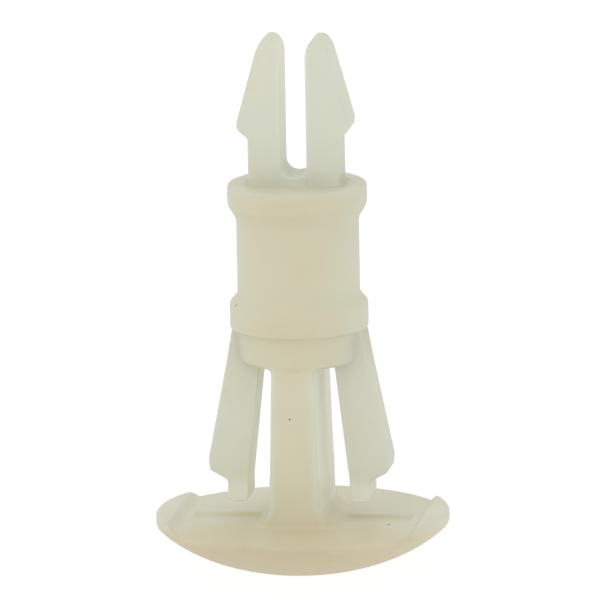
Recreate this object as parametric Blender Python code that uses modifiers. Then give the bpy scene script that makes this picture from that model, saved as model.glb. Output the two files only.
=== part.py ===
"""Snap-in circuit-board standoff with a domed blind head.

One nylon moulding, modelled as its working members. From the bottom up: a
domed head with two raised lips that bear on the underside of a panel, a deep
centre post, two splayed legs that snap through the panel's hole, a round
spacer barrel between two flanges, and two barbed prongs that snap into a
circuit board's hole. The legs and the prongs are the members that flex.

Units are metres, +Z is up. The origin is the middle of the dome's bottom.
X runs from leg to leg, and Y is the depth of the legs, prongs and post.
"""
import math

import bmesh
import bpy
from mathutils import Matrix

MM = 0.001

# ---- driving dimensions, in millimetres ---------------------------------
HEAD_RADIUS = 5.90
DOME_HALF_WIDTH = 6.8
DOME_HALF_HEIGHT = 3.9
DOME_FLAT_RADIUS = 1.0
LIP_TOP = 2.49
LIP_HEIGHT = 0.33
RIM_CHAMFER = 0.10
CHANNEL_HALF_WIDTH = 4.72
CHANNEL_WALL_RUN = 0.28
RECESS_DEPTH = 0.15
RECESS_HALF_DEPTH = 0.58
RECESS_INNER = 1.65
RECESS_OUTER = 4.40

POST_TOP_HALF_WIDTH = 0.84
POST_HALF_WIDTH = 1.00
POST_HALF_DEPTH = 2.35
POST_FLARE = 0.70
POST_FLARE_HEIGHT = 1.00

FOOT_BOTTOM = 8.65
LOWER_FLANGE_BOTTOM = 9.96
BARREL_BOTTOM = 11.38
UPPER_FLANGE_BOTTOM = 14.45
BOARD_SEAT = 15.88
BARREL_RADIUS = 2.46
LOWER_FLANGE_RADIUS = 2.78
UPPER_FLANGE_RADIUS = 2.80
FLANGE_TAPER = 0.36
UPPER_TAPER = 0.58
FLANGE_EDGE = 0.12

LEG_HALF_DEPTH = 0.92
LUG_TOP_REACH = 2.63
LUG_BOTTOM_REACH = 2.86
PRONG_HALF_DEPTH = 1.00
MEMBER_EDGE = 0.14

JOIN_GAP = 0.03
PRONG_ROOT_GAP = 0.07
LEG_ROOT_GAP = 0.12

ROUND_STEPS = 48
DOME_STEPS = 8

FLOOR = LIP_TOP - LIP_HEIGHT

# Outlines in X and Z of the right-hand members, which the left ones mirror.
LEG_TOP = FOOT_BOTTOM - LEG_ROOT_GAP
SHOULDER_HEIGHT = 4.34
NECK_HEIGHT = 3.82
TOE_BOTTOM = 2.93
LEG_OUTLINE = [
    (1.50, LEG_TOP), (2.01, NECK_HEIGHT), (2.90, NECK_HEIGHT), (3.60, 4.16),
    (3.68, SHOULDER_HEIGHT), (3.64, 4.70), (2.88, LEG_TOP),
]
TOE_OUTLINE = [
    (2.05, NECK_HEIGHT - JOIN_GAP), (2.05, TOE_BOTTOM + 0.20), (2.22, TOE_BOTTOM),
    (2.72, TOE_BOTTOM), (2.90, TOE_BOTTOM + 0.22), (2.90, NECK_HEIGHT - JOIN_GAP),
]
BARB_BOTTOM = 17.75
STEM_OUTLINE = [
    (0.54, BOARD_SEAT + PRONG_ROOT_GAP), (0.54, BARB_BOTTOM - JOIN_GAP),
    (1.83, BARB_BOTTOM - JOIN_GAP), (1.83, BOARD_SEAT + PRONG_ROOT_GAP),
]
BARB_OUTLINE = [
    (0.54, BARB_BOTTOM), (0.54, 21.10), (0.60, 21.50), (0.76, 21.79), (0.99, 21.88),
    (1.23, 21.74), (1.46, 21.28), (2.09, 18.95), (2.24, 18.42), (2.22, 18.14),
    (1.84, 17.80), (1.84, BARB_BOTTOM),
]

NYLON = (0.640, 0.620, 0.500)
NYLON_ROUGHNESS = 0.42
TINTS = {
    "dome_head": (0.585, 0.550, 0.400),
    "panel_lip": (0.620, 0.620, 0.480),
    "center_post": (0.600, 0.560, 0.420),
    "barrel": (0.610, 0.590, 0.460),
    "leg": (0.650, 0.640, 0.500),
    "prong": (0.620, 0.640, 0.520),
}


# ---- scene ---------------------------------------------------------------
for stale in list(bpy.data.objects):
    bpy.data.objects.remove(stale, do_unlink=True)

scene = bpy.context.scene
PARTS = bpy.data.collections.new("board_standoff")
CUTTERS = bpy.data.collections.new("cutters")
scene.collection.children.link(PARTS)
scene.collection.children.link(CUTTERS)


def nylon(kind):
    """Natural nylon, tinted a little by how thick the member is."""
    name = "nylon_" + kind
    material = bpy.data.materials.get(name)
    if material is None:
        material = bpy.data.materials.new(name)
        material.use_nodes = True
        colour = TINTS.get(kind, NYLON)
        shader = material.node_tree.nodes["Principled BSDF"]
        shader.inputs["Base Color"].default_value = (*colour, 1.0)
        shader.inputs["Roughness"].default_value = NYLON_ROUGHNESS
        shader.inputs["Metallic"].default_value = 0.0
        material.diffuse_color = (*colour, 1.0)
    return material


def add_part(name, mesh, kind, location=(0.0, 0.0, 0.0)):
    """One named solid of the standoff, at a place in millimetres."""
    piece = bpy.data.objects.new(name, mesh)
    piece.location = [value * MM for value in location]
    mesh.materials.append(nylon(kind))
    PARTS.objects.link(piece)
    return piece


def add_cutter(name, mesh):
    """A solid that only cuts others."""
    cutter = bpy.data.objects.new(name, mesh)
    cutter.hide_render = True
    cutter.display_type = 'WIRE'
    CUTTERS.objects.link(cutter)
    return cutter


def cut(piece, cutter, operation='DIFFERENCE'):
    """Cut a piece with a cutter, or keep what the two have in common."""
    boolean = piece.modifiers.new("cut_" + cutter.name, 'BOOLEAN')
    boolean.operation = operation
    boolean.solver = 'EXACT'
    boolean.object = cutter


def smooth(piece, degrees=35.0):
    """Smooth shading with sharp edges kept."""
    piece.data.shade_smooth()
    piece.data.set_sharp_from_angle(angle=math.radians(degrees))


# ---- shapes --------------------------------------------------------------
def box_mesh(name, low, high):
    """A box between two corners in millimetres."""
    mesh = bpy.data.meshes.new(name)
    form = bmesh.new()
    bmesh.ops.create_cube(form, size=1.0)
    size = [high[i] - low[i] for i in range(3)]
    middle = [(high[i] + low[i]) / 2 for i in range(3)]
    scaling = Matrix.Diagonal((*[value * MM for value in size], 1.0))
    moving = Matrix.Translation([value * MM for value in middle])
    bmesh.ops.transform(form, matrix=moving @ scaling, verts=form.verts)
    form.to_mesh(mesh)
    form.free()
    return mesh


def turned(name, profile, kind):
    """A round solid: a profile of (radius, height) from top to bottom, turned about Z."""
    mesh = bpy.data.meshes.new(name)
    form = bmesh.new()
    points = [form.verts.new((r * MM, 0.0, z * MM)) for r, z in profile]
    for first, second in zip(points, points[1:]):
        form.edges.new((first, second))
    form.to_mesh(mesh)
    form.free()
    piece = add_part(name, mesh, kind)
    screw = piece.modifiers.new("turn", 'SCREW')
    screw.axis = 'Z'
    screw.steps = ROUND_STEPS
    screw.render_steps = ROUND_STEPS
    screw.use_merge_vertices = True
    screw.merge_threshold = 0.000001
    screw.use_smooth_shade = True
    return piece


def outline_piece(name, outline, half_depth, kind, side, pivot):
    """A flat-sided member: an X-Z outline extruded along Y, with eased edges.

    The object's origin is its pivot, so it turns where the real member flexes.
    """
    curve = bpy.data.curves.new(name + "_outline", 'CURVE')
    curve.dimensions = '2D'
    curve.fill_mode = 'BOTH'
    curve.extrude = (half_depth - MEMBER_EDGE) * MM
    curve.bevel_depth = MEMBER_EDGE * MM
    curve.bevel_resolution = 1
    curve.offset = -MEMBER_EDGE * MM
    spline = curve.splines.new('POLY')
    spline.points.add(len(outline) - 1)
    for point, (x, z) in zip(spline.points, outline):
        point.co = ((side * x - pivot[0]) * MM, (z - pivot[1]) * MM, 0.0, 1.0)
    spline.use_cyclic_u = True
    drawing = bpy.data.objects.new(name + "_drawing", curve)
    CUTTERS.objects.link(drawing)
    bpy.context.view_layer.update()
    evaluated = drawing.evaluated_get(bpy.context.evaluated_depsgraph_get())
    mesh = bpy.data.meshes.new_from_object(evaluated)
    bpy.data.objects.remove(drawing, do_unlink=True)
    bpy.data.curves.remove(curve)
    form = bmesh.new()
    form.from_mesh(mesh)
    bmesh.ops.remove_doubles(form, verts=form.verts, dist=0.000001)
    upright = Matrix.Rotation(math.radians(90.0), 4, 'X')
    bmesh.ops.transform(form, matrix=upright, verts=form.verts)
    bmesh.ops.recalc_face_normals(form, faces=form.faces)
    form.to_mesh(mesh)
    form.free()
    mesh.name = name
    piece = add_part(name, mesh, kind, (pivot[0], 0.0, pivot[1]))
    smooth(piece)
    return piece


# ---- head ----------------------------------------------------------------
def dome_profile(top):
    """From the middle of the flat top, round the rim, down the half-oval dome to its flat."""
    rim = math.asin(HEAD_RADIUS / DOME_HALF_WIDTH)
    flat = math.asin(DOME_FLAT_RADIUS / DOME_HALF_WIDTH)
    drop = DOME_HALF_HEIGHT * math.cos(flat)
    profile = [(0.0, top), (HEAD_RADIUS - RIM_CHAMFER, top), (HEAD_RADIUS, top - RIM_CHAMFER)]
    for step in range(DOME_STEPS + 1):
        angle = rim + (flat - rim) * step / DOME_STEPS
        profile.append((DOME_HALF_WIDTH * math.sin(angle), drop - DOME_HALF_HEIGHT * math.cos(angle)))
    profile.append((0.0, 0.0))
    return profile


def make_head():
    """The domed head, with a shallow recess across its floor on each side of the post."""
    head = turned("dome_head", dome_profile(FLOOR), "dome_head")
    for side in (-1, 1):
        ends = sorted((side * RECESS_INNER, side * RECESS_OUTER))
        low = (ends[0], -RECESS_HALF_DEPTH, FLOOR - RECESS_DEPTH)
        high = (ends[1], RECESS_HALF_DEPTH, FLOOR + 1.0)
        name = "recess_left" if side < 0 else "recess_right"
        cut(head, add_cutter(name, box_mesh(name, low, high)))
    return head


def lip_keeper(name, side):
    """The block that keeps one lip of a full disc: beyond the channel's sloping wall."""
    reach = HEAD_RADIUS + 1.0
    low = (0.0, -reach, FLOOR - 1.0)
    high = (reach, reach, LIP_TOP + 1.0)
    mesh = box_mesh(name, low, high)
    slope = CHANNEL_WALL_RUN / LIP_HEIGHT
    for vertex in mesh.vertices:
        if vertex.co.x < reach * MM / 2:
            height = vertex.co.z / MM - FLOOR
            vertex.co.x = (CHANNEL_HALF_WIDTH + slope * height) * MM
    turn = Matrix.Rotation(math.pi if side < 0 else 0.0, 4, 'Z')
    mesh.transform(turn)
    return add_cutter(name, mesh)


def make_lip(name, side):
    """A raised lip at one end of the head, which bears on the panel."""
    base = FLOOR + JOIN_GAP
    profile = [
        (0.0, LIP_TOP), (HEAD_RADIUS - RIM_CHAMFER, LIP_TOP),
        (HEAD_RADIUS, LIP_TOP - RIM_CHAMFER), (HEAD_RADIUS, base), (0.0, base),
    ]
    lip = turned(name, profile, "panel_lip")
    cut(lip, lip_keeper(name + "_keeper", side), 'INTERSECT')
    return lip


# ---- body ----------------------------------------------------------------
def make_post():
    """The deep centre post, flared where it meets the head."""
    base = FLOOR + JOIN_GAP
    mesh = bpy.data.meshes.new("center_post")
    form = bmesh.new()
    levels = 5
    rows = []
    for step in range(levels + 1):
        share = step / levels
        flare = POST_FLARE * (1.0 - math.sqrt(1.0 - (1.0 - share) ** 2))
        rows.append((POST_HALF_WIDTH + flare, base + POST_FLARE_HEIGHT * share))
    rows.append((POST_TOP_HALF_WIDTH, FOOT_BOTTOM - JOIN_GAP))
    rings = []
    for half_width, height in rows:
        corners = [(-half_width, -POST_HALF_DEPTH), (half_width, -POST_HALF_DEPTH),
                   (half_width, POST_HALF_DEPTH), (-half_width, POST_HALF_DEPTH)]
        rings.append([form.verts.new((x * MM, y * MM, height * MM)) for x, y in corners])
    for lower, upper in zip(rings, rings[1:]):
        for i in range(4):
            j = (i + 1) % 4
            form.faces.new((lower[i], lower[j], upper[j], upper[i]))
    form.faces.new(list(reversed(rings[0])))
    form.faces.new(rings[-1])
    form.to_mesh(mesh)
    form.free()
    return add_part("center_post", mesh, "center_post")


def make_foot():
    """The barrel's foot, with a lug on each side that carries a leg."""
    foot = turned("barrel_foot", [
        (0.0, LOWER_FLANGE_BOTTOM - JOIN_GAP),
        (BARREL_RADIUS, LOWER_FLANGE_BOTTOM - JOIN_GAP),
        (BARREL_RADIUS, FOOT_BOTTOM + FLANGE_EDGE),
        (BARREL_RADIUS - FLANGE_EDGE, FOOT_BOTTOM),
        (0.0, FOOT_BOTTOM),
    ], "barrel")
    low = (-LUG_BOTTOM_REACH, -LEG_HALF_DEPTH, FOOT_BOTTOM)
    high = (LUG_BOTTOM_REACH, LEG_HALF_DEPTH, LOWER_FLANGE_BOTTOM - JOIN_GAP)
    lugs = box_mesh("leg_lugs", low, high)
    for vertex in lugs.vertices:
        if vertex.co.z > (FOOT_BOTTOM + 0.5) * MM:
            vertex.co.x = math.copysign(LUG_TOP_REACH * MM, vertex.co.x)
    cut(foot, add_cutter("leg_lugs", lugs), 'UNION')


def make_barrel():
    """The two flanges and the barrel between them."""
    turned("lower_flange", [
        (0.0, BARREL_BOTTOM - JOIN_GAP),
        (BARREL_RADIUS, BARREL_BOTTOM - JOIN_GAP),
        (LOWER_FLANGE_RADIUS, BARREL_BOTTOM - FLANGE_TAPER),
        (LOWER_FLANGE_RADIUS, LOWER_FLANGE_BOTTOM),
        (0.0, LOWER_FLANGE_BOTTOM),
    ], "barrel")
    turned("spacer_barrel", [
        (0.0, UPPER_FLANGE_BOTTOM - JOIN_GAP),
        (BARREL_RADIUS, UPPER_FLANGE_BOTTOM - JOIN_GAP),
        (BARREL_RADIUS, BARREL_BOTTOM),
        (0.0, BARREL_BOTTOM),
    ], "barrel")
    turned("board_flange", [
        (0.0, BOARD_SEAT),
        (UPPER_FLANGE_RADIUS - FLANGE_EDGE, BOARD_SEAT),
        (UPPER_FLANGE_RADIUS, BOARD_SEAT - FLANGE_EDGE),
        (UPPER_FLANGE_RADIUS, UPPER_FLANGE_BOTTOM + UPPER_TAPER),
        (BARREL_RADIUS, UPPER_FLANGE_BOTTOM),
        (0.0, UPPER_FLANGE_BOTTOM),
    ], "barrel")


# ---- members that flex ---------------------------------------------------
LEG_PIVOT = (2.25, FOOT_BOTTOM)
PRONG_PIVOT = (1.185, BOARD_SEAT)


def make_side(word, side):
    """One leg with its toe, and one prong with its barb."""
    leg_pivot = (side * LEG_PIVOT[0], LEG_PIVOT[1])
    prong_pivot = (side * PRONG_PIVOT[0], PRONG_PIVOT[1])
    outline_piece(word + "_leg_arm", LEG_OUTLINE, LEG_HALF_DEPTH, "leg", side, leg_pivot)
    outline_piece(word + "_leg_toe", TOE_OUTLINE, LEG_HALF_DEPTH, "leg", side, leg_pivot)
    outline_piece(word + "_prong_stem", STEM_OUTLINE, PRONG_HALF_DEPTH, "prong", side, prong_pivot)
    outline_piece(word + "_prong_barb", BARB_OUTLINE, PRONG_HALF_DEPTH, "prong", side, prong_pivot)


make_head()
make_lip("left_panel_lip", -1)
make_lip("right_panel_lip", 1)
make_post()
make_foot()
make_barrel()
make_side("left", -1)
make_side("right", 1)
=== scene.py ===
"""The looks of the snap-in board standoff: one natural nylon moulding with four flexing members."""
import math

import bmesh
import bpy
import numpy as np
from mathutils import Matrix, Vector
from mathutils.bvhtree import BVHTree


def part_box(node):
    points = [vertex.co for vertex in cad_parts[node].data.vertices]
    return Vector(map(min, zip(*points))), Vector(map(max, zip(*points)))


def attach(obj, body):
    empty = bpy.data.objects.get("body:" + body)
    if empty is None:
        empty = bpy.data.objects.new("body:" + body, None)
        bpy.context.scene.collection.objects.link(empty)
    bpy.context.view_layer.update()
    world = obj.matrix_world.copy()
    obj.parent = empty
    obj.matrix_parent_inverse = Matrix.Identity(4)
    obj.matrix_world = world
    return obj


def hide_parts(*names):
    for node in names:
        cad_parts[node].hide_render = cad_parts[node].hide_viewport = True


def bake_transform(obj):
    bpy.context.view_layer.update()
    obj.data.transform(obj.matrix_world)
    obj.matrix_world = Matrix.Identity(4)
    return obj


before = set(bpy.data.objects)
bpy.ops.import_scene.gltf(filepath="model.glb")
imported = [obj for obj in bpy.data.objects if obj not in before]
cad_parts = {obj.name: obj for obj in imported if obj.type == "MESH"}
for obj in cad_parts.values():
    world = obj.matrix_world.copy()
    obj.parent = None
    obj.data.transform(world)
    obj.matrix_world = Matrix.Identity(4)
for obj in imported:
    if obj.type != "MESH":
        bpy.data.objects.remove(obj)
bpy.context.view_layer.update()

MM = 0.001


# ---- sizes, in millimetres, read from the frame ----------------------------
def span(node, axis):
    """The lowest and highest coordinate of a CAD node along X, Y or Z, in millimetres."""
    low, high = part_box(node)
    index = "xyz".index(axis)
    return low[index] / MM, high[index] / MM


HEAD_RADIUS = span("dome_head", "x")[1]
FLOOR = span("dome_head", "z")[1]
LIP_TOP = span("left_panel_lip", "z")[1]
CHANNEL_FOOT = span("right_panel_lip", "x")[0]
POST_FLARE_REACH = span("center_post", "x")[1]
POST_HALF_DEPTH = span("center_post", "y")[1]
FOOT_BOTTOM = span("barrel_foot", "z")[0]
LUG_REACH = span("barrel_foot", "x")[1]
LUG_TOP = span("barrel_foot", "z")[1]
LOWER_BOTTOM = span("lower_flange", "z")[0]
LOWER_RADIUS = span("lower_flange", "x")[1]
BARREL_RADIUS = span("spacer_barrel", "x")[1]
BARREL_BOTTOM, _ = span("spacer_barrel", "z")
UPPER_BOTTOM, BOARD_SEAT = span("board_flange", "z")
UPPER_RADIUS = span("board_flange", "x")[1]
LEG_HALF_DEPTH = span("right_leg_arm", "y")[1]
LEG_INNER, SHOULDER_REACH = span("right_leg_arm", "x")
NECK = span("right_leg_arm", "z")[0]
TOE_INNER, TOE_OUTER = span("right_leg_toe", "x")
TOE_BOTTOM = span("right_leg_toe", "z")[0]
PRONG_HALF_DEPTH = span("right_prong_stem", "y")[1]
PRONG_INNER, STEM_OUTER = span("right_prong_stem", "x")
BARB_REACH = span("right_prong_barb", "x")[1]
BARB_BOTTOM, TIP = span("right_prong_barb", "z")

# Sizes that the frame's boxes don't hold, the same as the CAD's.
DOME_HALF_WIDTH = 6.8
DOME_HALF_HEIGHT = 3.9
CHANNEL_WALL_RUN = 0.28
POST_TOP_HALF_WIDTH = 0.84
POST_HALF_WIDTH = 1.00
POST_FLARE_HEIGHT = 1.0
LUG_TOP_REACH = 2.63
FLANGE_TAPER = 0.36
FLANGE_EDGE = 0.12
UPPER_TAPER = 0.58
RECESS_INNER = 1.65
RECESS_OUTER = 4.40
RECESS_HALF_DEPTH = 0.58
RECESS_DEPTH = 0.15

# Sizes of the visual model alone.
SINK = 0.6                  # how far a member starts inside what it grows from
SEAM = 0.03                 # how far the legs and lugs stand inside their CAD faces
POST_SKIRT = 0.45           # ease of the post into the head, in front and behind
WEB_DRAW = 0.84             # size of a lug web's bottom against its top
LEG_ROOT_FLARE = 0.16
PRONG_ROOT_FLARE = 0.20
TIP_EASE = 0.75             # height over which a prong's tip is rounded
TIP_DRAW = 0.45             # how much narrower the tip's end is than the prong
SLOT_WEB_HEIGHT = 0.85
SLOT_VALLEY_DEPTH = 0.50
PRONG_TIP_X = 1.00          # where a prong's rounded tip is highest

# Mesh resolution.
TURN_STEPS = 160
ARC_STEP = math.radians(9.0)
BODY_VOXEL = 0.07875
MEMBER_VOXEL = 0.05
SKIN_VOXEL = 0.1

# How the nylon's thickness becomes a scale from 0, thick, to 1, slight, with painted light and
# painted shade added on some faces.
INSET = 0.10                # how far inside the surface the measuring starts
LIGHT_REACH = 3.0           # depth at which light fades, looking inwards all round
DEPTH_REACH = 4.0           # the same, looking straight through from front to back
THINNEST = 0.60             # the palest that thickness alone makes it
PAINTED_LIGHT_SIDE = 0.95            # painted light: thinness that side faces shaded by their neighbours are lifted to
WARMEST = 0.30              # thinness that an upward face of the head never goes under
# painted light: how much paler the toes are made, where the head shades them
PAINTED_TOE_LIGHT = 0.30
# painted light: how much paler upward faces are made, as if lit from above
PAINTED_TOP_LIGHT = 0.10
HEAD_WARMTH = 0.46
HEAD_WARM_REACH = 3.2       # distance in front of the middle where the rim is fully warm
HEAD_WARM_HALF_WIDTH = 6.2  # the warmth fades out at this X
BACK_WARMTH = 0.3           # share of the warmth that the head's back has
PAINTED_UNDER_SHADE = 0.10           # painted shade: thinness of the dome's underside at its middle
PAINTED_UNDER_SHADE_RIM_LIFT = 0.16       # how much less painted shade it has at its rim
BARREL_SIDE = 0.52          # thinness of the barrel's left and right sides
BLUR_PASSES = 24
FRONT_AND_BACK = (Vector((0.0, 1.0, 0.0)), Vector((0.0, -1.0, 0.0)))

# The nylon's colour by thinness, with a small dip at 0.61 that is painted shade on the prongs, and
# its dark specks and two painted shadows as (place, size).
DEPTH_COLOURS_WITH_PAINTED_SHADE = [(0.08, (0.725, 0.640, 0.450)), (0.28, (0.831, 0.777, 0.604)),
                 (0.42, (0.830, 0.820, 0.680)), (0.54, (0.852, 0.855, 0.750)),
                 # painted shade: the dip at 0.61 dims the prongs, which the light from above
                 # brightens more than the legs
                 (0.61, (0.836, 0.848, 0.750)), (0.66, (0.858, 0.866, 0.776)),
                 (0.78, (0.925, 0.932, 0.860)), (0.92, (0.960, 0.968, 0.905))]
SPECKS_AND_PAINTED_SHADOWS = [((-0.10, -POST_HALF_DEPTH, 6.65), 0.055), ((1.00, -0.45, 5.45), 0.08),
          ((3.66, -1.25, FLOOR), 0.10), ((2.08, -1.85, 11.16), 0.10), ((1.17, -2.16, 10.11), 0.09),
          # the last two are painted shadows: dark marks in the lower flange's shoulder corners
          ((-2.40, -1.40, 11.13), 0.12), ((2.71, -0.62, 11.36), 0.10)]
SPECK_AND_SHADOW_COLOUR = (0.22, 0.17, 0.12, 1.0)
SPECK_AND_SHADOW_CORE = 0.4            # share of a speck's or painted shadow's radius that is fully dark

# The nylon's finish. The noise sizes are in millimetres.
CLOUD_SIZE = 2.6
CLOUD_TINTS = [(0.34, (0.985, 1.0, 0.980)), (0.50, (1.0, 1.0, 1.0)), (0.66, (1.0, 0.990, 0.955))]
SWELL_SIZE = 0.9
GRAIN_SIZE = 0.12
ROUGHNESS = (0.28, 0.46)
NYLON_IOR = 1.53
TRANSLUCENCE = 0.38

ROOM_STRENGTH = 0.88
FLOOR_STRENGTH = 0.93


# ---- outlines --------------------------------------------------------------
def rounded(corners):
    """An outline from corners (a, b, radius), with an arc of that radius at each."""
    outline = []
    for i, (a, b, radius) in enumerate(corners):
        here = Vector((a, b))
        before = Vector(corners[i - 1][:2]) - here
        after = Vector(corners[(i + 1) % len(corners)][:2]) - here
        opening = before.angle(after, 0.0)
        if radius <= 0.0 or opening < 0.01 or opening > math.pi - 0.01:
            outline.append((a, b))
            continue
        reach = min(radius / math.tan(opening / 2), 0.49 * before.length, 0.49 * after.length)
        radius = reach * math.tan(opening / 2)
        bisector = (before.normalized() + after.normalized()).normalized()
        centre = here + bisector * (radius / math.sin(opening / 2))
        first = here + before.normalized() * reach - centre
        last = here + after.normalized() * reach - centre
        sweep = first.angle_signed(last)
        steps = max(1, round(abs(sweep) / ARC_STEP))
        for step in range(steps + 1):
            turn = Matrix.Rotation(-sweep * step / steps, 2)
            outline.append(tuple(centre + turn @ first))
    return outline


def oval_arc(centre, half_width, half_height, start, end):
    """Corners along an upright oval, from one angle in degrees to another."""
    steps = 9
    corners = []
    for i in range(steps + 1):
        angle = math.radians(start + (end - start) * i / steps)
        corners.append((centre[0] + half_width * math.cos(angle),
                        centre[1] + half_height * math.sin(angle), 0.0))
    return corners


def mirrored(corners):
    """The same outline on the other side of X = 0."""
    return [(-a, b, radius) for a, b, radius in reversed(corners)]


# ---- closed forms, in millimetres -------------------------------------------
def turned(form, outline):
    """Adds a solid turned about Z from an outline of (radius, height)."""
    points = [form.verts.new((r, 0.0, z)) for r, z in outline]
    edges = [form.edges.new(pair) for pair in zip(points, points[1:])]
    bmesh.ops.spin(form, geom=points + edges, axis=(0, 0, 1), cent=(0, 0, 0),
                   angle=math.tau, steps=TURN_STEPS, use_merge=True)


def prism(form, outline, low, high, along="y"):
    """Adds an outline's prism: X-Z corners pulled along Y, Y-Z along X, or X-Y along Z."""
    def place(a, b, depth):
        return {"x": (depth, a, b), "y": (a, depth, b), "z": (a, b, depth)}[along]
    face = form.faces.new([form.verts.new(place(a, b, low)) for a, b in outline])
    grown = bmesh.ops.extrude_face_region(form, geom=[face])["geom"]
    shift = place(0.0, 0.0, high - low)
    bmesh.ops.translate(form, verts=[g for g in grown if isinstance(g, bmesh.types.BMVert)],
                        vec=shift)


def finished_mesh(name, form):
    """The form as a mesh, with its seams closed and its faces pointing out."""
    bmesh.ops.remove_doubles(form, verts=form.verts, dist=1e-5)
    bmesh.ops.recalc_face_normals(form, faces=form.faces)
    mesh = bpy.data.meshes.new(name)
    form.to_mesh(mesh)
    form.free()
    return mesh


def solid(name, build):
    """A closed object in millimetres, made by a function that fills a bmesh."""
    form = bmesh.new()
    build(form)
    piece = bpy.data.objects.new(name, finished_mesh(name, form))
    bpy.context.scene.collection.objects.link(piece)
    return piece


def apply_modifiers(piece):
    """Freezes the piece's modifiers into its mesh."""
    bpy.context.view_layer.update()
    evaluated = piece.evaluated_get(bpy.context.evaluated_depsgraph_get())
    mesh = bpy.data.meshes.new_from_object(evaluated)
    piece.modifiers.clear()
    piece.data = mesh


def cut_away(piece, cutters):
    """Takes the cutters out of the piece."""
    for cutter in cutters:
        boolean = piece.modifiers.new("cut", 'BOOLEAN')
        boolean.operation = 'DIFFERENCE'
        boolean.solver = 'EXACT'
        boolean.object = cutter
    apply_modifiers(piece)
    for cutter in cutters:
        bpy.data.objects.remove(cutter, do_unlink=True)


def moulded(name, solids, voxel, passes):
    """Melts overlapping solids into one skin with softly eased edges, in metres."""
    form = bmesh.new()
    for part in solids:
        form.from_mesh(part.data)
        bpy.data.objects.remove(part, do_unlink=True)
    mesh = bpy.data.meshes.new(name)
    form.to_mesh(mesh)
    form.free()
    piece = bpy.data.objects.new(name, mesh)
    bpy.context.scene.collection.objects.link(piece)
    melt = piece.modifiers.new("melt", 'REMESH')
    melt.mode = 'VOXEL'
    melt.voxel_size = voxel
    melt.use_smooth_shade = True
    ease = piece.modifiers.new("ease", 'SMOOTH')
    ease.factor = 0.5
    ease.iterations = passes
    apply_modifiers(piece)
    piece.data.transform(Matrix.Scale(MM, 4))
    piece.data.shade_smooth()
    piece.data.name = name
    return piece


# ---- the moulding that doesn't move -------------------------------------------
def dome_outline(top):
    """Half the head's section: flat top, eased rim, and the half-oval dome below it."""
    rim = math.asin(HEAD_RADIUS / DOME_HALF_WIDTH)
    steps = 24
    dome = []
    for i in range(steps + 1):
        angle = rim * (1 - i / steps)
        dome.append((DOME_HALF_WIDTH * math.sin(angle), DOME_HALF_HEIGHT * (1 - math.cos(angle))))
    corners = [(0.0, top, 0.0), (HEAD_RADIUS, top, 0.16), (*dome[0], 0.10)]
    return rounded(corners + [(r, z, 0.0) for r, z in dome[1:]])


def make_head():
    """The domed head: a disc with a channel between two lips, and two recesses in its floor."""
    head = solid("head", lambda form: turned(form, dome_outline(LIP_TOP)))
    reach = HEAD_RADIUS + 1.0
    above = 1.0
    slope = CHANNEL_WALL_RUN / (LIP_TOP - FLOOR)
    channel = [(-CHANNEL_FOOT, FLOOR), (CHANNEL_FOOT, FLOOR),
               (CHANNEL_FOOT + slope * above, FLOOR + above),
               (-CHANNEL_FOOT - slope * above, FLOOR + above)]
    cutters = [solid("channel", lambda form: prism(form, channel, -reach, reach))]
    for side in (-1, 1):
        ends = sorted((side * RECESS_INNER, side * RECESS_OUTER))
        recess = [(ends[0], FLOOR - RECESS_DEPTH), (ends[1], FLOOR - RECESS_DEPTH),
                  (ends[1], FLOOR + above), (ends[0], FLOOR + above)]
        cutters.append(solid("recess", lambda form, shape=recess: prism(
            form, shape, -RECESS_HALF_DEPTH, RECESS_HALF_DEPTH)))
    cut_away(head, cutters)
    return head


def post_half():
    """The post's right-hand outline: a long flare at the head, a small one at the foot."""
    flare = POST_FLARE_REACH - POST_HALF_WIDTH
    steps = 8
    points = [(POST_FLARE_REACH, FLOOR - SINK)]
    for i in range(steps + 1):
        angle = math.pi / 2 * i / steps
        points.append((POST_HALF_WIDTH + flare * (1 - math.sin(angle)),
                       FLOOR + POST_FLARE_HEIGHT * (1 - math.cos(angle))))
    crown = rounded([
        (POST_HALF_WIDTH, FLOOR + POST_FLARE_HEIGHT, 0.0),
        (POST_TOP_HALF_WIDTH, FOOT_BOTTOM + 0.02, 0.18),
        (POST_TOP_HALF_WIDTH + 0.35, FOOT_BOTTOM + 0.02, 0.0),
        (POST_TOP_HALF_WIDTH + 0.35, FOOT_BOTTOM + 0.10, 0.0),
        (0.50, FOOT_BOTTOM + 0.10, 0.0), (0.50, FOOT_BOTTOM + SINK, 0.0),
    ])
    return points + crown[1:]


def make_post():
    """The deep centre post, eased into the head in front and behind as well."""
    def build(form):
        right = post_half()
        left = [(-x, z) for x, z in reversed(right)]
        prism(form, right + left, -POST_HALF_DEPTH, POST_HALF_DEPTH)

    def build_skirt(form):
        section = rounded([
            (POST_HALF_DEPTH + POST_SKIRT, FLOOR - SINK, 0.0),
            (POST_HALF_DEPTH + POST_SKIRT, FLOOR - 0.02, 0.0),
            (POST_HALF_DEPTH, FLOOR - 0.02, POST_SKIRT),
            (POST_HALF_DEPTH, FLOOR + 2.0, 0.0),
            (-POST_HALF_DEPTH, FLOOR + 2.0, 0.0),
            (-POST_HALF_DEPTH, FLOOR - 0.02, POST_SKIRT),
            (-POST_HALF_DEPTH - POST_SKIRT, FLOOR - 0.02, 0.0),
            (-POST_HALF_DEPTH - POST_SKIRT, FLOOR - SINK, 0.0),
        ])
        prism(form, section, -POST_HALF_WIDTH, POST_HALF_WIDTH, along="x")
    return [solid("post", build), solid("post_skirt", build_skirt)]


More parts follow.
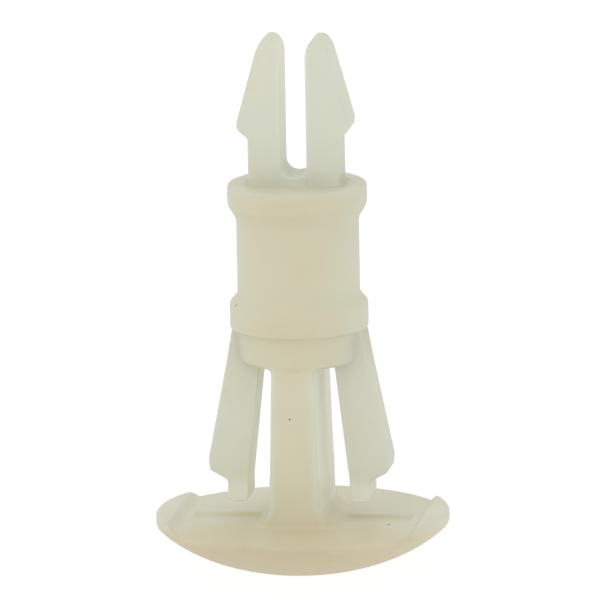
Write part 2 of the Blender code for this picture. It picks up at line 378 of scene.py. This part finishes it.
def make_barrel():
    """Foot, lower flange, barrel and board flange in one turned section."""
    section = rounded([
        (0.0, BOARD_SEAT, 0.0), (UPPER_RADIUS, BOARD_SEAT, FLANGE_EDGE),
        (UPPER_RADIUS, UPPER_BOTTOM + UPPER_TAPER, 0.22), (BARREL_RADIUS, UPPER_BOTTOM, 0.35),
        (BARREL_RADIUS, BARREL_BOTTOM, 0.15),
        (LOWER_RADIUS, BARREL_BOTTOM - FLANGE_TAPER, FLANGE_EDGE),
        (LOWER_RADIUS, LOWER_BOTTOM, FLANGE_EDGE), (BARREL_RADIUS, LOWER_BOTTOM, 0.10),
        (BARREL_RADIUS, FOOT_BOTTOM, 0.14), (0.0, FOOT_BOTTOM, 0.0),
    ])
    return solid("barrel", lambda form: turned(form, section))


def make_lugs():
    """The foot's two lugs, inside the legs' roots, with a web easing each into the barrel."""
    depth = LEG_HALF_DEPTH - SEAM - 0.05
    reach = LUG_TOP_REACH - 0.08
    slab = [(-reach, FOOT_BOTTOM + 0.05), (reach, FOOT_BOTTOM + 0.05),
            (reach, LOWER_BOTTOM + 0.2), (-reach, LOWER_BOTTOM + 0.2)]
    corner = math.hypot(reach, depth)
    touch = math.atan2(depth, reach) + math.acos(BARREL_RADIUS / corner)
    tangent = (BARREL_RADIUS * math.cos(touch), BARREL_RADIUS * math.sin(touch))
    web = [(reach, -depth), (reach, depth), tangent, (0.0, 0.0), (tangent[0], -tangent[1])]
    lugs = [solid("lugs", lambda form: prism(form, slab, -depth, depth))]
    bottom = FOOT_BOTTOM + 0.10

    def build_web(form, side):
        prism(form, [(side * x, y) for x, y in web], bottom, LOWER_BOTTOM + 0.1, along="z")
        for vertex in form.verts:
            if vertex.co.z < bottom + 0.01:
                vertex.co.x *= WEB_DRAW
                vertex.co.y *= WEB_DRAW

    for side in (-1, 1):
        lugs.append(solid("web", lambda form, side=side: build_web(form, side)))
    return lugs


def make_slot_web():
    """The low web that closes the slot between the prongs, with a rounded bottom to the slot."""
    crest = BOARD_SEAT + SLOT_WEB_HEIGHT
    valley = oval_arc((0.0, crest), PRONG_INNER, SLOT_VALLEY_DEPTH, 180.0, 360.0)
    end = PRONG_INNER + 0.15
    outline = [(a, b) for a, b, _ in valley]
    outline += [(end, crest), (end, BOARD_SEAT - 0.2), (-end, BOARD_SEAT - 0.2), (-end, crest)]
    depth = PRONG_HALF_DEPTH - 0.02
    return solid("slot_web", lambda form: prism(form, outline, -depth, depth))


# ---- the members that flex -----------------------------------------------------
def leg_corners():
    """The right leg in X-Z, from inside the foot down to the toe and up to the flange."""
    plane = FOOT_BOTTOM + 0.02
    hidden = FOOT_BOTTOM + SINK
    return [
        (LEG_INNER - 0.30, hidden, 0.0), (LEG_INNER - 0.30, plane, 0.0),
        (LEG_INNER, plane, 0.22), (TOE_INNER, NECK, 1.2),
        (TOE_INNER, TOE_BOTTOM, 0.24), (TOE_OUTER, TOE_BOTTOM, 0.30),
        (TOE_OUTER, NECK, 0.16), (SHOULDER_REACH - 0.07, NECK + 0.38, 0.15),
        (SHOULDER_REACH - 0.02, NECK + 0.86, 0.30), (LUG_REACH, FOOT_BOTTOM, 3.0),
        (LUG_TOP_REACH, LUG_TOP, 0.0), (LUG_TOP_REACH, LOWER_BOTTOM + 0.1, 0.0),
        (LEG_INNER + 0.5, LOWER_BOTTOM + 0.1, 0.0), (LEG_INNER + 0.5, hidden, 0.0),
    ]


def prong_corners():
    """The right prong in X-Z, from inside the board flange up to its tip and back."""
    plane = BOARD_SEAT - 0.02
    outer_side = oval_arc((PRONG_TIP_X, TIP - 1.40), 0.578, 1.40, 34.0, 90.0)
    inner_side = oval_arc((PRONG_TIP_X, TIP - 0.80), PRONG_TIP_X - PRONG_INNER, 0.80, 90.0, 180.0)
    return [
        (PRONG_INNER - 0.32, BOARD_SEAT - SINK, 0.0), (STEM_OUTER + 0.26, BOARD_SEAT - SINK, 0.0),
        (STEM_OUTER + 0.26, plane, 0.0), (STEM_OUTER, plane, 0.22),
        (STEM_OUTER, BARB_BOTTOM + 0.05, 0.10), (BARB_REACH + 0.01, BARB_BOTTOM + 0.40, 0.16),
        (BARB_REACH + 0.02, BARB_BOTTOM + 0.72, 0.50), *outer_side, *inner_side[1:],
        (PRONG_INNER, plane, 0.30), (PRONG_INNER - 0.32, plane, 0.0),
    ]


def ease_tip(prong):
    """Draws the prong's tip in from front and back, as a rounded end."""
    reach = TIP_EASE * MM
    start = TIP * MM - reach
    for vertex in prong.data.vertices:
        climb = (vertex.co.z - start) / reach
        if climb > 0.0:
            arc = math.sqrt(max(0.0, 1.0 - min(climb, 1.0) ** 2))
            vertex.co.y *= 1.0 - TIP_DRAW * (1.0 - arc)


def make_member(name, corners, half_depth, root, flare):
    """A flat-sided member, with flares in front and behind where it leaves the moulding.

    root is (height of the face it leaves, +1 up or -1 down, inner X, outer X).
    """
    height, way, inner, outer = root

    def build(form):
        prism(form, rounded(corners), -half_depth, half_depth)

    def build_flare(form):
        top = height + way * 1.2
        plane = height - way * 0.02
        deep = height - way * 0.4
        section = rounded([
            (half_depth + flare, deep, 0.0), (half_depth + flare, plane, 0.0),
            (half_depth, plane, flare), (half_depth, top, 0.0),
            (-half_depth, top, 0.0), (-half_depth, plane, flare),
            (-half_depth - flare, plane, 0.0), (-half_depth - flare, deep, 0.0),
        ])
        prism(form, section, min(inner, outer), max(inner, outer), along="x")

    parts = [solid("member", build), solid("flare", build_flare)]
    return moulded(name, parts, MEMBER_VOXEL, 5)


def make_leg(word, side):
    """One splayed leg, growing from the barrel's foot."""
    corners = leg_corners() if side > 0 else mirrored(leg_corners())
    root = (FOOT_BOTTOM, -1, side * (LEG_INNER + 0.25), side * (BARREL_RADIUS - 0.5))
    leg = make_member(word + "_leg", corners, LEG_HALF_DEPTH - SEAM, root, LEG_ROOT_FLARE)
    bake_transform(leg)
    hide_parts(word + "_leg_arm", word + "_leg_toe")
    return leg


def make_prong(word, side):
    """One barbed prong, growing from the board flange."""
    corners = prong_corners() if side > 0 else mirrored(prong_corners())
    root = (BOARD_SEAT, 1, side * (PRONG_INNER + 0.1), side * (STEM_OUTER - 0.1))
    prong = make_member(word + "_prong", corners, PRONG_HALF_DEPTH, root, PRONG_ROOT_FLARE)
    ease_tip(prong)
    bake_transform(prong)
    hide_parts(word + "_prong_stem", word + "_prong_barb")
    return prong


# ---- material -------------------------------------------------------------------
def inward_fan():
    """Directions about (0, 0, -1): one straight in, and two rings spread around it."""
    fan = [Vector((0, 0, -1))]
    for tilt, count in ((32.0, 6), (62.0, 8)):
        for i in range(count):
            turn = math.tau * i / count
            away = math.radians(tilt)
            fan.append(Vector((math.sin(away) * math.cos(turn),
                               math.sin(away) * math.sin(turn), -math.cos(away))))
    return fan


def whole_skin(pieces):
    """One closed mesh round all the pieces together, for measuring through."""
    form = bmesh.new()
    for piece in pieces:
        form.from_mesh(piece.data)
    bmesh.ops.scale(form, vec=(1 / MM, 1 / MM, 1 / MM), verts=form.verts)
    whole = bpy.data.objects.new("whole", finished_mesh("whole", form))
    bpy.context.scene.collection.objects.link(whole)
    melt = whole.modifiers.new("melt", 'REMESH')
    melt.mode = 'VOXEL'
    melt.voxel_size = SKIN_VOXEL
    apply_modifiers(whole)
    form = bmesh.new()
    form.from_mesh(whole.data)
    tree = BVHTree.FromBMesh(form)
    form.free()
    bpy.data.objects.remove(whole, do_unlink=True)
    return tree


def smooth_step(value):
    """0 below 0, 1 above 1, and an easy slope between."""
    value = min(1.0, max(0.0, value))
    return value * value * (3.0 - 2.0 * value)


def body_look_with_painted_light_and_shade(place, normal, thin_with_painted_light_and_shade):
    """The body's place on the colour scale: warm front rim; painted light that makes the slot, the
    post's sides and upward faces pale; painted shade on the dome's underside.
    """
    up = max(0.0, normal.z)
    if place.z < LIP_TOP + 0.2:
        forward = -place.y if place.y < 0.0 else BACK_WARMTH * place.y
        fade = 1.0 - abs(place.x / HEAD_WARM_HALF_WIDTH) ** 3
        warm = smooth_step(forward / HEAD_WARM_REACH) * fade
        # painted shade: the head's downward faces are pulled darker and warmer, less so towards the
        # rim
        painted_under_shade = smooth_step((-normal.z - 0.2) / 0.4)
        thin_with_painted_light_and_shade += (PAINTED_UNDER_SHADE + PAINTED_UNDER_SHADE_RIM_LIFT * (place.x / HEAD_RADIUS) ** 2 - thin_with_painted_light_and_shade) * painted_under_shade
        # painted light: upward faces are made paler, as if lit from above; the front rim is made
        # warmer
        return max(thin_with_painted_light_and_shade + up * (PAINTED_TOP_LIGHT - HEAD_WARMTH * warm), WARMEST * up)
    if place.z > BOARD_SEAT + 0.1:
        # painted light: above the board seat every face is set to the palest that thickness gives,
        # and faces not turned to front or back paler still, to lift the shade between the prongs
        return THINNEST + (PAINTED_LIGHT_SIDE - THINNEST) * (1.0 - normal.y ** 2)
    # painted light: upward faces are made paler, as if lit from above
    thin_with_painted_light_and_shade += PAINTED_TOP_LIGHT * up
    if place.z < FOOT_BOTTOM:
        # painted light: the post's side faces, which the legs shade, are lifted paler
        return thin_with_painted_light_and_shade + (PAINTED_LIGHT_SIDE - thin_with_painted_light_and_shade) * normal.x ** 4
    return max(thin_with_painted_light_and_shade, BARREL_SIDE * abs(normal.x))


def member_look_with_painted_light(place, normal, thin_with_painted_light_and_shade):
    """A member's place on the colour scale: painted light that makes inner faces and toes pale."""
    # painted light: faces turned in towards the post, which shades them, are lifted paler
    if place.x * normal.x < 0.0:
        thin_with_painted_light_and_shade += (PAINTED_LIGHT_SIDE - thin_with_painted_light_and_shade) * normal.x ** 4
    # painted light: the toes, which the head shades, are lifted paler
    return thin_with_painted_light_and_shade + PAINTED_TOE_LIGHT * smooth_step((NECK + 0.4 - place.z) / 1.2)


def measure_thickness(pieces):
    """Writes, for each point, how slight the nylon below it is, from 0 to 1, with painted light and
    painted shade added, to the point attribute that the material reads.

    A point looks inwards in a fan of directions, and each counts for the share
    of light that would come through: this is what makes edges and slender members
    paler than the thick barrel. The body's and the members' look functions then add painted light
    and painted shade to it.
    """
    tree = whole_skin(pieces)
    fan = inward_fan()
    farthest = 30.0
    for piece in pieces:
        look = body_look_with_painted_light_and_shade if piece.name == "molded_body" else member_look_with_painted_light
        mesh = piece.data
        count = len(mesh.vertices)
        thin_with_painted_light_and_shade = np.empty(count)
        for i, vertex in enumerate(mesh.vertices):
            normal = vertex.normal
            start = vertex.co / MM - normal * INSET
            turn = normal.to_track_quat('Z', 'Y')
            share = 0.0
            for direction in fan:
                distance = tree.ray_cast(start, turn @ direction, farthest)[3]
                share += math.exp(-(distance or 0.0) / LIGHT_REACH)
            share /= len(fan)
            depth = sum(tree.ray_cast(start, way, farthest)[3] or 0.0 for way in FRONT_AND_BACK)
            weight = min(1.0, 1.4 * abs(normal.y) + 1.2 * max(0.0, -normal.z))
            share += weight * (math.exp(-depth / DEPTH_REACH) - share)
            thin_with_painted_light_and_shade[i] = look(vertex.co / MM, normal, min(share, THINNEST))
        ends = np.empty(2 * len(mesh.edges), dtype=np.int64)
        mesh.edges.foreach_get("vertices", ends)
        ends = ends.reshape(-1, 2)
        both = np.concatenate([ends, ends[:, ::-1]])
        degree = np.bincount(both[:, 0], minlength=count)
        for _ in range(BLUR_PASSES):
            around = np.bincount(both[:, 0], weights=thin_with_painted_light_and_shade[both[:, 1]], minlength=count) / degree
            thin_with_painted_light_and_shade = 0.5 * (thin_with_painted_light_and_shade + around)
        mesh.attributes.new("thinness_with_painted_light_and_shade", 'FLOAT', 'POINT').data.foreach_set("value", thin_with_painted_light_and_shade)


def add_ramp(nodes, stops):
    """A colour ramp through (position, colour) stops."""
    ramp = nodes.new('ShaderNodeValToRGB')
    ramp.color_ramp.elements.remove(ramp.color_ramp.elements[1])
    for i, (at, colour) in enumerate(stops):
        element = ramp.color_ramp.elements[0] if i == 0 else ramp.color_ramp.elements.new(at)
        element.position = at
        element.color = (*colour, 1.0)
    return ramp


def add_noise(nodes, links, coordinates, size, detail):
    """Noise whose patches are about the given size in millimetres."""
    noise = nodes.new('ShaderNodeTexNoise')
    noise.inputs["Scale"].default_value = 1.0 / (size * MM)
    noise.inputs["Detail"].default_value = detail
    links.new(coordinates, noise.inputs["Vector"])
    return noise


def tint(nodes, links, colour, by):
    """The first colour multiplied by the second."""
    mix = nodes.new('ShaderNodeMix')
    mix.data_type = 'RGBA'
    mix.blend_type = 'MULTIPLY'
    mix.inputs["Factor"].default_value = 1.0
    links.new(colour, mix.inputs["A"])
    links.new(by, mix.inputs["B"])
    return mix.outputs["Result"]


def speck_and_shadow_mask(nodes, links, coordinates):
    """1 at the dark specks in the nylon and at two painted shadows on the lower flange, 0
    elsewhere.
    """
    total = None
    for place, size in SPECKS_AND_PAINTED_SHADOWS:
        away = nodes.new('ShaderNodeVectorMath')
        away.operation = 'DISTANCE'
        links.new(coordinates, away.inputs[0])
        away.inputs[1].default_value = [value * MM for value in place]
        near = nodes.new('ShaderNodeMapRange')
        near.inputs["From Min"].default_value = size * MM
        near.inputs["From Max"].default_value = SPECK_AND_SHADOW_CORE * size * MM
        links.new(away.outputs["Value"], near.inputs["Value"])
        if total is None:
            total = near.outputs["Result"]
            continue
        either = nodes.new('ShaderNodeMath')
        either.operation = 'MAXIMUM'
        links.new(total, either.inputs[0])
        links.new(near.outputs["Result"], either.inputs[1])
        total = either.outputs["Value"]
    return total


def nylon_material():
    """Natural nylon: milky, yellower where it is thick, satin, faintly mottled."""
    material = bpy.data.materials.new("natural_nylon")
    material.use_nodes = True
    nodes = material.node_tree.nodes
    links = material.node_tree.links
    shader = nodes["Principled BSDF"]
    place = nodes.new('ShaderNodeTexCoord').outputs["Object"]

    # the point attribute holds the nylon's thinness with painted light and painted shade added to
    # it
    thin_with_painted_light_and_shade = nodes.new('ShaderNodeAttribute')
    thin_with_painted_light_and_shade.attribute_name = "thinness_with_painted_light_and_shade"
    depth_colour_with_painted_light_and_shade = add_ramp(nodes, DEPTH_COLOURS_WITH_PAINTED_SHADE)
    links.new(thin_with_painted_light_and_shade.outputs["Fac"], depth_colour_with_painted_light_and_shade.inputs["Fac"])
    cloud = add_noise(nodes, links, place, CLOUD_SIZE, 2.0)
    cloud_tint = add_ramp(nodes, CLOUD_TINTS)
    links.new(cloud.outputs["Fac"], cloud_tint.inputs["Fac"])
    colour = tint(nodes, links, depth_colour_with_painted_light_and_shade.outputs["Color"], cloud_tint.outputs["Color"])
    # mixes in the dark specks and the two painted shadows on the lower flange
    speckled_and_shaded = nodes.new('ShaderNodeMix')
    speckled_and_shaded.data_type = 'RGBA'
    links.new(speck_and_shadow_mask(nodes, links, place), speckled_and_shaded.inputs["Factor"])
    links.new(colour, speckled_and_shaded.inputs["A"])
    speckled_and_shaded.inputs["B"].default_value = SPECK_AND_SHADOW_COLOUR
    colour = speckled_and_shaded.outputs["Result"]
    links.new(colour, shader.inputs["Base Color"])

    sheen = add_noise(nodes, links, place, SWELL_SIZE, 3.0)
    gloss = nodes.new('ShaderNodeMapRange')
    gloss.inputs["To Min"].default_value, gloss.inputs["To Max"].default_value = ROUGHNESS
    links.new(sheen.outputs["Fac"], gloss.inputs["Value"])
    links.new(gloss.outputs["Result"], shader.inputs["Roughness"])
    shader.inputs["IOR"].default_value = NYLON_IOR

    swell = nodes.new('ShaderNodeBump')
    swell.inputs["Strength"].default_value = 0.4
    swell.inputs["Distance"].default_value = 0.03 * MM
    links.new(sheen.outputs["Fac"], swell.inputs["Height"])
    grain = add_noise(nodes, links, place, GRAIN_SIZE, 2.0)
    rough = nodes.new('ShaderNodeBump')
    rough.inputs["Strength"].default_value = 0.35
    rough.inputs["Distance"].default_value = 0.004 * MM
    links.new(grain.outputs["Fac"], rough.inputs["Height"])
    links.new(swell.outputs["Normal"], rough.inputs["Normal"])
    links.new(rough.outputs["Normal"], shader.inputs["Normal"])

    through = nodes.new('ShaderNodeBsdfTranslucent')
    links.new(colour, through.inputs["Color"])
    links.new(rough.outputs["Normal"], through.inputs["Normal"])
    milky = nodes.new('ShaderNodeMixShader')
    milky.inputs["Fac"].default_value = TRANSLUCENCE
    links.new(shader.outputs["BSDF"], milky.inputs[1])
    links.new(through.outputs["BSDF"], milky.inputs[2])
    links.new(milky.outputs["Shader"], nodes["Material Output"].inputs["Surface"])
    return material


# ---- camera, light and floor -------------------------------------------------------
def add_camera():
    """A long lens a little above the object, turned slightly to its right-hand side."""
    azimuth = math.radians(8.7)
    elevation = math.radians(11.8)
    roll = math.radians(1.03)
    distance = 0.6
    frame_width = 600 * 0.0401 * MM
    aim = Vector((0.04, 0.0, 11.05)) * MM
    back = Vector((math.sin(azimuth) * math.cos(elevation),
                   -math.cos(azimuth) * math.cos(elevation), math.sin(elevation)))
    data = bpy.data.cameras.new("camera")
    data.sensor_width = 36.0
    data.lens = data.sensor_width * distance / frame_width
    data.clip_start = 0.01
    data.clip_end = 10.0
    camera = bpy.data.objects.new("camera", data)
    bpy.context.scene.collection.objects.link(camera)
    facing = (-back).to_track_quat('-Z', 'Y').to_matrix() @ Matrix.Rotation(-roll, 3, 'Z')
    camera.matrix_world = Matrix.Translation(aim + back * distance) @ facing.to_4x4()
    bpy.context.scene.camera = camera


def add_area_light(name, place, size, power):
    """A soft square light aimed at the object."""
    data = bpy.data.lights.new(name, 'AREA')
    data.size = size
    data.energy = power
    light = bpy.data.objects.new(name, data)
    target = Vector((0.0, 0.0, 0.011))
    light.location = place
    light.rotation_euler = (target - Vector(place)).to_track_quat('-Z', 'Y').to_euler()
    bpy.context.scene.collection.objects.link(light)


def add_studio():
    """A white room, one soft light and a pale floor that glows the same in every view."""
    world = bpy.data.worlds.new("studio")
    bpy.context.scene.world = world
    world.use_nodes = True
    background = world.node_tree.nodes["Background"]
    background.inputs["Color"].default_value = (1.0, 1.0, 1.0, 1.0)
    background.inputs["Strength"].default_value = ROOM_STRENGTH
    add_area_light("key", (-0.30, -0.35, 0.50), 0.40, 0.30)

    form = bmesh.new()
    bmesh.ops.create_grid(form, x_segments=1, y_segments=1, size=3.0)
    floor = bpy.data.objects.new("floor", bpy.data.meshes.new("floor"))
    form.to_mesh(floor.data)
    form.free()
    bpy.context.scene.collection.objects.link(floor)
    material = bpy.data.materials.new("floor")
    material.use_nodes = True
    nodes = material.node_tree.nodes
    links = material.node_tree.links
    seen = nodes["Principled BSDF"]
    seen.inputs["Base Color"].default_value = (0.12, 0.12, 0.12, 1.0)
    seen.inputs["Roughness"].default_value = 0.9
    seen.inputs["Specular IOR Level"].default_value = 0.0
    seen.inputs["Emission Color"].default_value = (1.0, 1.0, 1.0, 1.0)
    seen.inputs["Emission Strength"].default_value = FLOOR_STRENGTH
    lit = nodes.new('ShaderNodeEmission')
    lit.inputs["Strength"].default_value = FLOOR_STRENGTH
    path = nodes.new('ShaderNodeLightPath')
    choice = nodes.new('ShaderNodeMixShader')
    links.new(path.outputs["Is Camera Ray"], choice.inputs["Fac"])
    links.new(lit.outputs["Emission"], choice.inputs[1])
    links.new(seen.outputs["BSDF"], choice.inputs[2])
    links.new(choice.outputs["Shader"], nodes["Material Output"].inputs["Surface"])
    floor.data.materials.append(material)


# ---- the whole ----------------------------------------------------------------------
add_camera()
add_studio()
bpy.context.scene.view_settings.view_transform = 'Standard'

parts = [make_head(), *make_post(), make_barrel(), *make_lugs(), make_slot_web()]
body = moulded("molded_body", parts, BODY_VOXEL, 4)
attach(body, "molding")
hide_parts("dome_head", "left_panel_lip", "right_panel_lip", "center_post",
            "barrel_foot", "lower_flange", "spacer_barrel", "board_flange")
pieces = [body]
for word, side in (("left", -1), ("right", 1)):
    pieces.append(make_leg(word, side))
    pieces.append(make_prong(word, side))
measure_thickness(pieces)
nylon = nylon_material()
for piece in pieces:
    piece.data.materials.clear()
    piece.data.materials.append(nylon)
